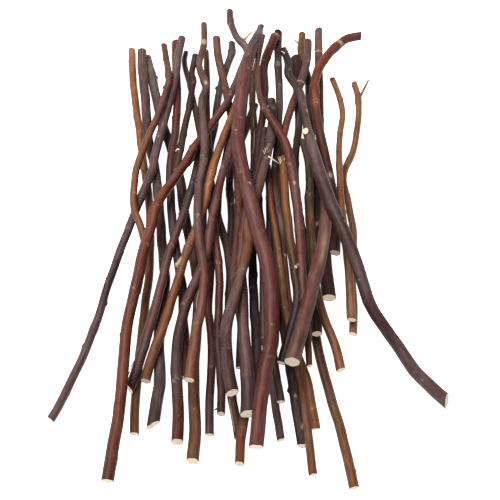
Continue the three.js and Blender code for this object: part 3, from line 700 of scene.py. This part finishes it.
class Skin:
    """The mesh of one twig as it grows: points with what the bark material reads at them."""

    def __init__(self):
        self.points, self.straight, self.tint, self.pale = [], [], [], []
        self.faces, self.kinds = [], []
        self.count = 0

    def add(self, points, straight, tint, pale, faces, kinds):
        """Adds points, in millimetres, with faces that number them from 0."""
        self.points.append(points)
        self.straight.append(straight)
        self.tint.append(np.broadcast_to(tint, (len(points), 4)))
        self.pale.append(np.broadcast_to(pale, (len(points),)))
        self.faces += [tuple(i + self.count for i in face) for face in faces]
        self.kinds += kinds
        self.count += len(points)

    def object(self, name, materials):
        mesh = bpy.data.meshes.new(name)
        points = np.vstack(self.points) * MM
        mesh.from_pydata(points.tolist(), [], self.faces)
        for material in materials:
            mesh.materials.append(material)
        mesh.polygons.foreach_set("material_index", self.kinds)
        mesh.polygons.foreach_set("use_smooth", [kind == BARK_FACE for kind in self.kinds])
        straight = mesh.attributes.new("straight", "FLOAT_VECTOR", "POINT")
        straight.data.foreach_set("vector", (np.vstack(self.straight) * MM).ravel())
        tint = mesh.attributes.new("tint", "FLOAT_COLOR", "POINT")
        tint.data.foreach_set("color", np.vstack(self.tint).ravel())
        pale = mesh.attributes.new("pale", "FLOAT", "POINT")
        pale.data.foreach_set("value", np.concatenate(self.pale))
        mesh.update()
        made = bpy.data.objects.new(name, mesh)
        bpy.context.collection.objects.link(made)
        return made


def frames_along(centres):
    """Each ring's tangent, its level side and its upper side. The side points left in the view."""
    tangent = np.gradient(centres, axis=0)
    tangent /= np.linalg.norm(tangent, axis=1)[:, None]
    side = np.stack([tangent[:, 1], -tangent[:, 0], np.zeros(len(tangent))], axis=1)
    side /= np.linalg.norm(side, axis=1)[:, None]
    return tangent, side, np.cross(side, tangent)


def add_tube(skin, centres, radii, where, tint, pale, cuts=((0, 0), (0, 0))):
    """A closed twig through rings: radii has one row for each centre, and where is each centre's
    place along the straightened twig. Both ends are cut, with a rim of inner bark round the wood,
    and each of cuts is how far that cut slants to its level side and to its upper side."""
    rings, sides = radii.shape
    turn = 2 * math.pi * np.arange(sides) / sides
    tangent, side, up = frames_along(centres)
    points, straight, tints, pales, faces, kinds = [], [], [], [], [], []
    first_slant, last_slant = (
        (across * np.cos(turn) + over * np.sin(turn) + 0.03 * np.sin(5 * turn + where[0]))
        for across, over in cuts
    )

    def ring(i, radius, shift):
        out = radius[:, None] * (np.cos(turn)[:, None] * side[i] + np.sin(turn)[:, None] * up[i])
        points.append(centres[i] + out + np.asarray(shift)[..., None] * tangent[i])
        flat = np.stack([radius * np.cos(turn), radius * np.sin(turn)], axis=1)
        straight.append(np.column_stack([flat, np.full(sides, where[i])]))
        tints.append(np.broadcast_to(tint[i], (sides, 4)))
        pales.append(pale[i])

    def band(kind):
        n = len(points)
        a, b = (n - 2) * sides, (n - 1) * sides
        for k in range(sides):
            m = (k + 1) % sides
            faces.append((a + k, b + k, b + m, a + m))
            kinds.append(kind)

    def cut(i, outward):
        """The rings of a cut face, from its rim to its middle, as shares of the radius."""
        rim = max(1 - BARK_THICKNESS / radii[i].mean(), 0.6)
        skew = (first_slant if i == 0 else last_slant) * radii[i].mean()
        sink = outward * np.array([0.0, -0.12, -0.05, 0.0, -0.1])
        return [(s * radii[i], s * skew + d) for s, d in zip((0.97, rim, 0.66, 0.33, 0.08), sink)]

    first, last = cut(0, -1), cut(rings - 1, 1)
    for n, (radius, shift) in enumerate(reversed(first)):
        ring(0, radius, shift)
        if n:
            band(BAST_FACE if n == 4 else WOOD_FACE)
    for i in range(rings):
        nearness = np.clip(1 - np.array([where[i] - where[0], where[-1] - where[i]]) / CUT_REACH, 0, 1)
        skew = nearness[0] * first_slant + nearness[1] * last_slant
        inset = CUT_EDGE if i == 0 else -CUT_EDGE if i == rings - 1 else 0
        ring(i, radii[i], skew * radii[i].mean() + inset)
        band(BARK_FACE)
    for n, (radius, shift) in enumerate(last):
        ring(rings - 1, radius, shift)
        band(BARK_FACE if n == 0 else BAST_FACE if n == 1 else WOOD_FACE)
    end = (len(points) - 1) * sides
    faces.append(tuple(range(sides)))
    faces.append(tuple(end + k for k in reversed(range(sides))))
    kinds += [WOOD_FACE, WOOD_FACE]
    skin.add(
        np.vstack(points), np.vstack(straight), np.vstack(tints), np.concatenate(pales), faces, kinds
    )


def add_sliver(skin, route, widths, thickness, lift, tint, pale, where):
    """A thin flat strip, such as a splinter or a curl of peeling bark. lift is its upper side."""
    route = np.asarray(route, float)
    tangent = np.gradient(route, axis=0)
    tangent /= np.linalg.norm(tangent, axis=1)[:, None]
    lift = np.broadcast_to(lift, route.shape)
    across = np.cross(tangent, lift)
    across /= np.linalg.norm(across, axis=1)[:, None]
    half = np.asarray(widths)[:, None] / 2 * across
    rise = thickness / 2 * lift
    corners = np.stack(
        [route + half + rise, route - half + rise, route - half - rise, route + half - rise], axis=1
    )
    faces = []
    for i in range(len(route) - 1):
        for k in range(4):
            m = (k + 1) % 4
            faces.append((4 * i + k, 4 * i + m, 4 * i + 4 + m, 4 * i + 4 + k))
    last = 4 * len(route) - 4
    faces += [(3, 2, 1, 0), (last, last + 1, last + 2, last + 3)]
    points = corners.reshape(-1, 3)
    straight = np.column_stack([points[:, :2] * 0.2, np.full(len(points), where)])
    skin.add(points, straight, tint, pale, faces, [BARK_FACE] * len(faces))


class Growth:
    """A laid twig made fine: its rings, and what grows on its bark."""

    def __init__(self, twig, stations, number):
        self.twig = twig
        self.random = random.Random(twig.node)
        self.length = stations.length
        self.rings = int(self.length / FINE_STEP) + 1
        self.share = np.linspace(0, stations.share[-1], self.rings)
        self.run = self.share * self.length
        self.where = self.run + PATTERN_SPACING * number
        centres = np.stack(
            [np.interp(self.share, stations.share, stations.place[:, k]) for k in range(3)], axis=1
        )
        self.tangent, self.side, self.up = frames_along(centres)
        fade = np.minimum(1, np.minimum(self.run, self.run[-1] - self.run) / STEADY_END)[:, None]
        for direction in (self.side, self.up):
            centres = centres + fade * direction * self.wander()[:, None]
        self.centres = centres
        self.radius = SHRINK * np.interp(self.share, stations.share, stations.radius)
        self.turn = 2 * math.pi * np.arange(FINE_SIDES) / FINE_SIDES
        self.radii = self.radius[:, None] * (1 + self.unevenness())
        self.pale = np.zeros_like(self.radii)
        tint = [spread([linear(BARK[b])[k] for b in twig.barks], self.share) for k in range(4)]
        self.tint = np.repeat(np.stack(tint, axis=1)[:, None], FINE_SIDES, axis=1)

    def wander(self):
        """How far the twig's middle strays to one side, in gentle waves along it."""
        total = np.zeros(self.rings)
        for _ in range(3):
            wavelength = self.random.uniform(*SWAY_WAVES)
            phase = self.random.uniform(0, 2 * math.pi)
            total += np.sin(2 * math.pi * self.run / wavelength + phase)
        return SWAY * total / 3

    def unevenness(self):
        """How far the section is from round, as shares of the radius: flats, ridges and dents."""
        total = np.zeros((self.rings, FINE_SIDES))
        for lobes, size, wavelength in (
            (1, 0.02, 70),
            (2, 0.028, 90),
            (3, 0.016, 60),
            (5, 0.01, 45),
            (7, 0.008, 30),
            (9, 0.006, 22),
        ):
            for _ in range(2):
                phase = self.random.uniform(0, 2 * math.pi)
                rate = 2 * math.pi / (wavelength * self.random.uniform(0.7, 1.5))
                beat = np.sin(self.run * rate + phase)[:, None]
                total += size / 2 * np.cos(lobes * self.turn + phase + 0.4 * beat) * (0.6 + 0.4 * beat)
        return total

    def ring_at(self, pixel):
        """The ring seen nearest to a pixel, and the turn at which the pixel meets the bark."""
        i = int(np.argmin(np.linalg.norm(seen_pixels(self.centres) - pixel, axis=1)))
        place = seen_at(pixel, self.centres[i, 2])
        offset = float((place - self.centres[i]) @ self.side[i]) / self.radius[i]
        return i, math.acos(max(-1.0, min(1.0, offset)))

    def closeness(self, i, turn, half_length, half_width):
        """1 at a place on the bark, falling to 0 around it."""
        along = (self.run - self.run[i])[:, None] / half_length
        turned = (self.turn - turn + math.pi) % (2 * math.pi) - math.pi
        around = turned * self.radius[i] / half_width
        return np.exp(-(along**2) - around**2)

    def node(self, i, turn, strength=1.2):
        """A twig's node: a slight swelling to one side, with the worn scar of a leaf on it."""
        self.radii += 0.75 * strength * self.closeness(i, turn, 3.2, self.radius[i] * 0.9)
        for _ in range(3):
            at = min(max(i + self.random.randint(-1, 1), 0), self.rings - 1)
            aside = turn + self.random.uniform(-0.7, 0.7)
            self.pale += 0.27 * strength * self.closeness(at, aside, 0.8, 0.7)

    def bud(self, i, turn, size=1.0):
        """A pointed winter bud lying along the twig, with its tip to the twig's tip."""
        for shift, height, length, width in ((0, 0.9, 1.7, 1.1), (1, 0.55, 1.3, 0.7), (2, 0.25, 1, 0.5)):
            at = max(0, i - shift)
            self.radii += size * height * self.closeness(at, turn, length, width * size)
        self.pale += 0.35 * self.closeness(min(i + 2, self.rings - 1), turn, 1.0, 1.5)

    def scar(self, i, turn, size=1.0):
        """A pale oval scar, level with the bark."""
        self.pale += self.closeness(i, turn, 1.7 * size, 1.2 * size)
        self.radii += 0.25 * self.closeness(i, turn, 2.2 * size, 1.7 * size)

    def eye(self, i, turn):
        """The scar of a shed shoot: a pale oval ring round a dark middle."""
        self.pale += 0.8 * self.closeness(i, turn, 2.4, 1.9) - 1.2 * self.closeness(i, turn, 1.2, 0.9)

    def band(self, i, turn, size=1.0):
        """A band where the bark is worn off all round."""
        rough = 0.8 + 0.2 * np.cos(3 * self.turn + self.random.uniform(0, 6))
        self.pale += 0.8 * rough * np.exp(-(((self.run[:, None] - self.run[i]) / (3.6 * size)) ** 4))

    def bloom(self, i, turn):
        """A stretch of bark under a worn grey film."""
        self.pale += 0.3 * self.closeness(i, turn, 11, 2.6)

    def patch(self, first, last, bark, width):
        """A stretch of another bark colour between two pixels."""
        i, turn = self.ring_at(first)
        j, end_turn = self.ring_at(last)
        half = max(abs(j - i) * FINE_STEP / 2, 1.5)
        share = self.closeness((i + j) // 2, (turn + end_turn) / 2, half, width / 2)
        self.tint += share[..., None] * (linear(BARK[bark]) - self.tint)

    def nodes_along(self):
        """Nodes every 30 to 50 mm, each turned about half round from the one before."""
        at = self.random.uniform(12, 35)
        turn = self.random.uniform(0, 2 * math.pi)
        while at < self.run[-1] - 10:
            i = int(at / FINE_STEP)
            self.node(i, turn, self.random.uniform(0.3, 0.7))
            if self.random.random() < 0.35:
                self.bud(i, turn, self.random.uniform(0.3, 0.5))
            at += self.random.uniform(28, 50)
            turn += math.pi * self.random.uniform(0.75, 1.25)

    def marks(self):
        for kind, column, row, *size in self.twig.marks:
            i, turn = self.ring_at((column, row))
            getattr(self, kind)(i, turn, *size)

    def shoots(self, skin):
        """Side twigs and cut stubs, each curving out of its twig to where its end is seen."""
        for shoot in self.twig.shoots:
            i = min(int(np.searchsorted(self.share, shoot.share)), self.rings - 1)
            start = self.centres[i]
            end = seen_at(shoot.end, start[2] + shoot.rise)
            reach = np.linalg.norm(end - start)
            lengthwise = self.tangent[i] * ((end - start) @ self.tangent[i])
            bend = (start + end) / 2 + shoot.curl * (lengthwise - (end - start) / 2)
            steps = max(6, int(reach / SHOOT_STEP))
            t = np.linspace(0, 1, steps)[:, None]
            route = (1 - t) ** 2 * start + 2 * t * (1 - t) * bend + t**2 * end
            turn = 2 * math.pi * np.arange(SHOOT_SIDES) / SHOOT_SIDES
            radius = SHRINK * np.linspace(*shoot.diameters, steps)[:, None] / 2
            collar = np.exp(-((t * reach - self.radius[i]) ** 2) / 2)
            lumps = 1 + 0.05 * np.cos(3 * turn + 9 * t) + 0.25 * collar
            pale = shoot.bare * (0.3 + 0.7 * t) * np.ones(SHOOT_SIDES)
            where = self.where[i] + t[:, 0] * reach
            bark = linear(BARK[shoot.bark]) if shoot.bark else self.tint[i].mean(axis=0)
            tint = np.broadcast_to(bark, (steps, 4))
            add_tube(skin, route, radius * lumps, where, tint, pale)

    def skin(self):
        skin = Skin()
        self.nodes_along()
        self.marks()
        for patch in self.twig.patches:
            self.patch(*patch)
        # Painted shade: the bark's colour is painted darker towards the lower side, and the upper side is
        # the lightest.
        # the tint of the main stem is multiplied by this painted shade, which is full on top and falls
        # off towards the sides and underside
        painted_shade = PAINTED_UNDERSIDE_SHADE + (1 - PAINTED_UNDERSIDE_SHADE) * np.clip(np.sin(self.turn), 0, 1) ** 0.8
        tint = self.tint * painted_shade[:, None]
        upright = self.tangent[:, 2] / np.linalg.norm(self.tangent[:, :2], axis=1)
        cuts = (
            (self.random.uniform(-0.3, 0.3), upright[0]),
            (self.twig.slant or self.random.uniform(-0.18, 0.18), upright[-1] - self.twig.tilt),
        )
        pale = np.clip(self.pale, 0, 0.9)
        add_tube(skin, self.centres, self.radii, self.where, tint, pale, cuts)
        self.shoots(skin)
        return skin

    def peel(self, skin, first, last, width, lift):
        """A strip of bark that has come loose between two pixels, bowed off the twig."""
        i, turn = self.ring_at(first)
        j, _ = self.ring_at(last)
        rows = np.arange(min(i, j), max(i, j) + 1, 2)
        t = np.linspace(0, 1, len(rows))
        out = math.cos(turn) * self.side[rows] + math.sin(turn) * self.up[rows]
        bow = self.radius[rows] + 0.1 + lift * np.sin(math.pi * t)
        route = self.centres[rows] + out * bow[:, None]
        widths = width * (0.35 + 0.65 * np.sin(math.pi * np.clip(t * 0.9 + 0.05, 0, 1)))
        add_sliver(skin, route, widths, 0.35, out, linear(BARK["dust"]), 0.45, self.where[i])

    def splinter(self, skin, root, tip, rise, width, colour=WOOD):
        """A splinter from one pixel to another, on top of the twig."""
        i, _ = self.ring_at(root)
        top = self.centres[i, 2] + 0.7 * self.radius[i]
        start, end = seen_at(root, top), seen_at(tip, top + rise)
        t = np.linspace(0, 1, 6)[:, None]
        route = start + (end - start) * t + np.array((0, 0, 0.8)) * np.sin(math.pi * t)
        widths = width * (1 - 0.85 * t[:, 0])
        worn = 0.3 if colour == WOOD else 0.0
        add_sliver(skin, route, widths, 0.45, np.array((0, 0, 1.0)), linear(colour), worn, self.where[i])


# Loose strips of bark, as (first pixel, last pixel, width, lift).
PEELS = {
    "twig_03_brown": [((132.5, 360), (125.5, 385), 1.6, 0.9)],
    "twig_18_dark": [((229.5, 400), (235.5, 434), 1.6, 0.8)],
    "twig_20_dark": [((253.4, 118), (255, 172), 1.1, 0.4)],
    "twig_02_red": [((186, 172), (166.5, 200), 0.9, 0.3)],
    "twig_11_mauve": [((199.5, 291), (193.5, 309), 1.0, 1.2)],
}
# Splinters and thorns, as (pixel of the root, pixel of the tip, rise of the tip, width, colour).
SPLINTERS = {
    "twig_16_grey": [
        ((264.7, 153.5), (280.4, 163.7), 2.5, 2.2),
        ((266, 153), (264.5, 146.5), 1.5, 0.9),
        ((267, 152), (268, 145), 1.2, 0.8),
        ((265, 154), (262.8, 149), 1.2, 0.9),
        ((267, 154), (269.5, 149), 1, 0.7),
        ((265.5, 151), (266.5, 145.5), 1.8, 0.7),
    ],
    "twig_26_golden": [
        ((281, 163), (277.5, 156), 1.5, 1.5),
        ((284, 162), (285.5, 151.5), 2, 1.4),
        ((281.5, 161), (279.3, 155.5), 1, 1.2),
    ],
    "twig_06_orange": [((178, 266.5), (175.5, 262), 1, 1.6)],
    "twig_15_red": [((219, 407), (213.8, 409.5), -0.5, 2.6, BARK["umber"])],
    "twig_24_mauve": [((230, 18.5), (226.4, 24.5), -0.5, 2.4, BARK["umber"])],
    "twig_39_dark": [((286, 54), (281, 50), 1, 2.2), ((285.5, 51), (287, 47), 0.8, 1.2)],
    "twig_07_grey": [((151, 424), (147, 432), -1.5, 2.2)],
}


# The scene.

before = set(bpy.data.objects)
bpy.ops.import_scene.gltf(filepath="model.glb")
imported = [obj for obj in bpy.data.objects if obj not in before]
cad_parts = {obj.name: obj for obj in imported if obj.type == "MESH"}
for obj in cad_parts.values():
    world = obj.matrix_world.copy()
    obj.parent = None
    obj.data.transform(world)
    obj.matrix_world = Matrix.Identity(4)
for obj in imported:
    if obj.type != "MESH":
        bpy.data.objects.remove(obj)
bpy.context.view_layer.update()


def make_camera():
    """The camera stands at the eye that the routes were read from."""
    data = bpy.data.cameras.new("camera")
    data.sensor_width = 36
    data.lens = data.sensor_width * FOCAL_PIXELS / PICTURE
    data.clip_start, data.clip_end = 0.01, 20
    data.shift_y = 1 / PICTURE  # the routes were read one pixel high
    camera = bpy.data.objects.new("camera", data)
    eye = Vector(EYE * MM)
    target = Vector(seen_at((CENTRE_PIXEL, CENTRE_PIXEL)) * MM)
    camera.location = eye
    camera.rotation_mode = "QUATERNION"
    camera.rotation_quaternion = (target - eye).to_track_quat("-Z", "Y")
    bpy.context.collection.objects.link(camera)
    bpy.context.scene.camera = camera


def soft_light(name, place, size, power):
    """A square soft box that faces the heap, with its place and size in metres and its power in
    watts."""
    data = bpy.data.lights.new(name, "AREA")
    data.shape = "SQUARE"
    data.size = size
    data.energy = power
    light = bpy.data.objects.new(name, data)
    light.location = place
    light.rotation_mode = "QUATERNION"
    light.rotation_quaternion = (-Vector(place)).to_track_quat("-Z", "Y")
    bpy.context.collection.objects.link(light)


def make_studio():
    world = bpy.data.worlds.new("studio")
    world.use_nodes = True
    background = world.node_tree.nodes["Background"]
    background.inputs["Color"].default_value = (1, 1, 1, 1)
    background.inputs["Strength"].default_value = 0.28
    bpy.context.scene.world = world
    bpy.context.scene.view_settings.view_transform = "Standard"
    soft_light("key", (-0.42, 0.35, 1.45), 0.9, 40)
    soft_light("fill", (0.3, -1.3, 0.8), 1.2, 4)
    mesh = bpy.data.meshes.new("floor")
    reach = 4.0
    corners = [(-reach, -reach, 0), (reach, -reach, 0), (reach, reach, 0), (-reach, reach, 0)]
    mesh.from_pydata(corners, [], [(0, 1, 2, 3)])
    mesh.materials.append(light_table_material())
    floor = bpy.data.objects.new("floor", mesh)
    bpy.context.collection.objects.link(floor)


def make_twigs():
    wood, bast = cut_wood_material(), bast_material()
    barks = {
        "bark_orange": bark_material("smooth_orange_bark", 0.5, 0.08, 0.45),
        "bark_tan": bark_material("smooth_tan_bark", 0.5, 0.1, 0.4),
        "bark_red": bark_material("smooth_red_bark", 0.5, 0.1, 0.5),
        "bark_mauve": bark_material("waxy_mauve_bark", 0.55, 0.25, 0.5),
        "bark_grey": bark_material("weathered_grey_bark", 0.7, 0.35, 0.6),
        "bark_dark": bark_material("weathered_dark_bark", 0.7, 0.15, 0.55),
    }
    laid = []
    for number, twig in enumerate(TWIGS):
        stations = lay(Stations(twig), laid)
        laid.append(stations)
        growth = Growth(twig, stations, number)
        skin = growth.skin()
        for peel in PEELS.get(twig.node, []):
            growth.peel(skin, *peel)
        for splinter in SPLINTERS.get(twig.node, []):
            growth.splinter(skin, *splinter)
        slot = twig.slot or "bark_" + twig.node.split("_")[-1]
        piece = skin.object(twig.node + "_bark", [barks[slot], wood, bast])
        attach(piece, "root")
        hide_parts(twig.node)


make_camera()
make_studio()
make_twigs()
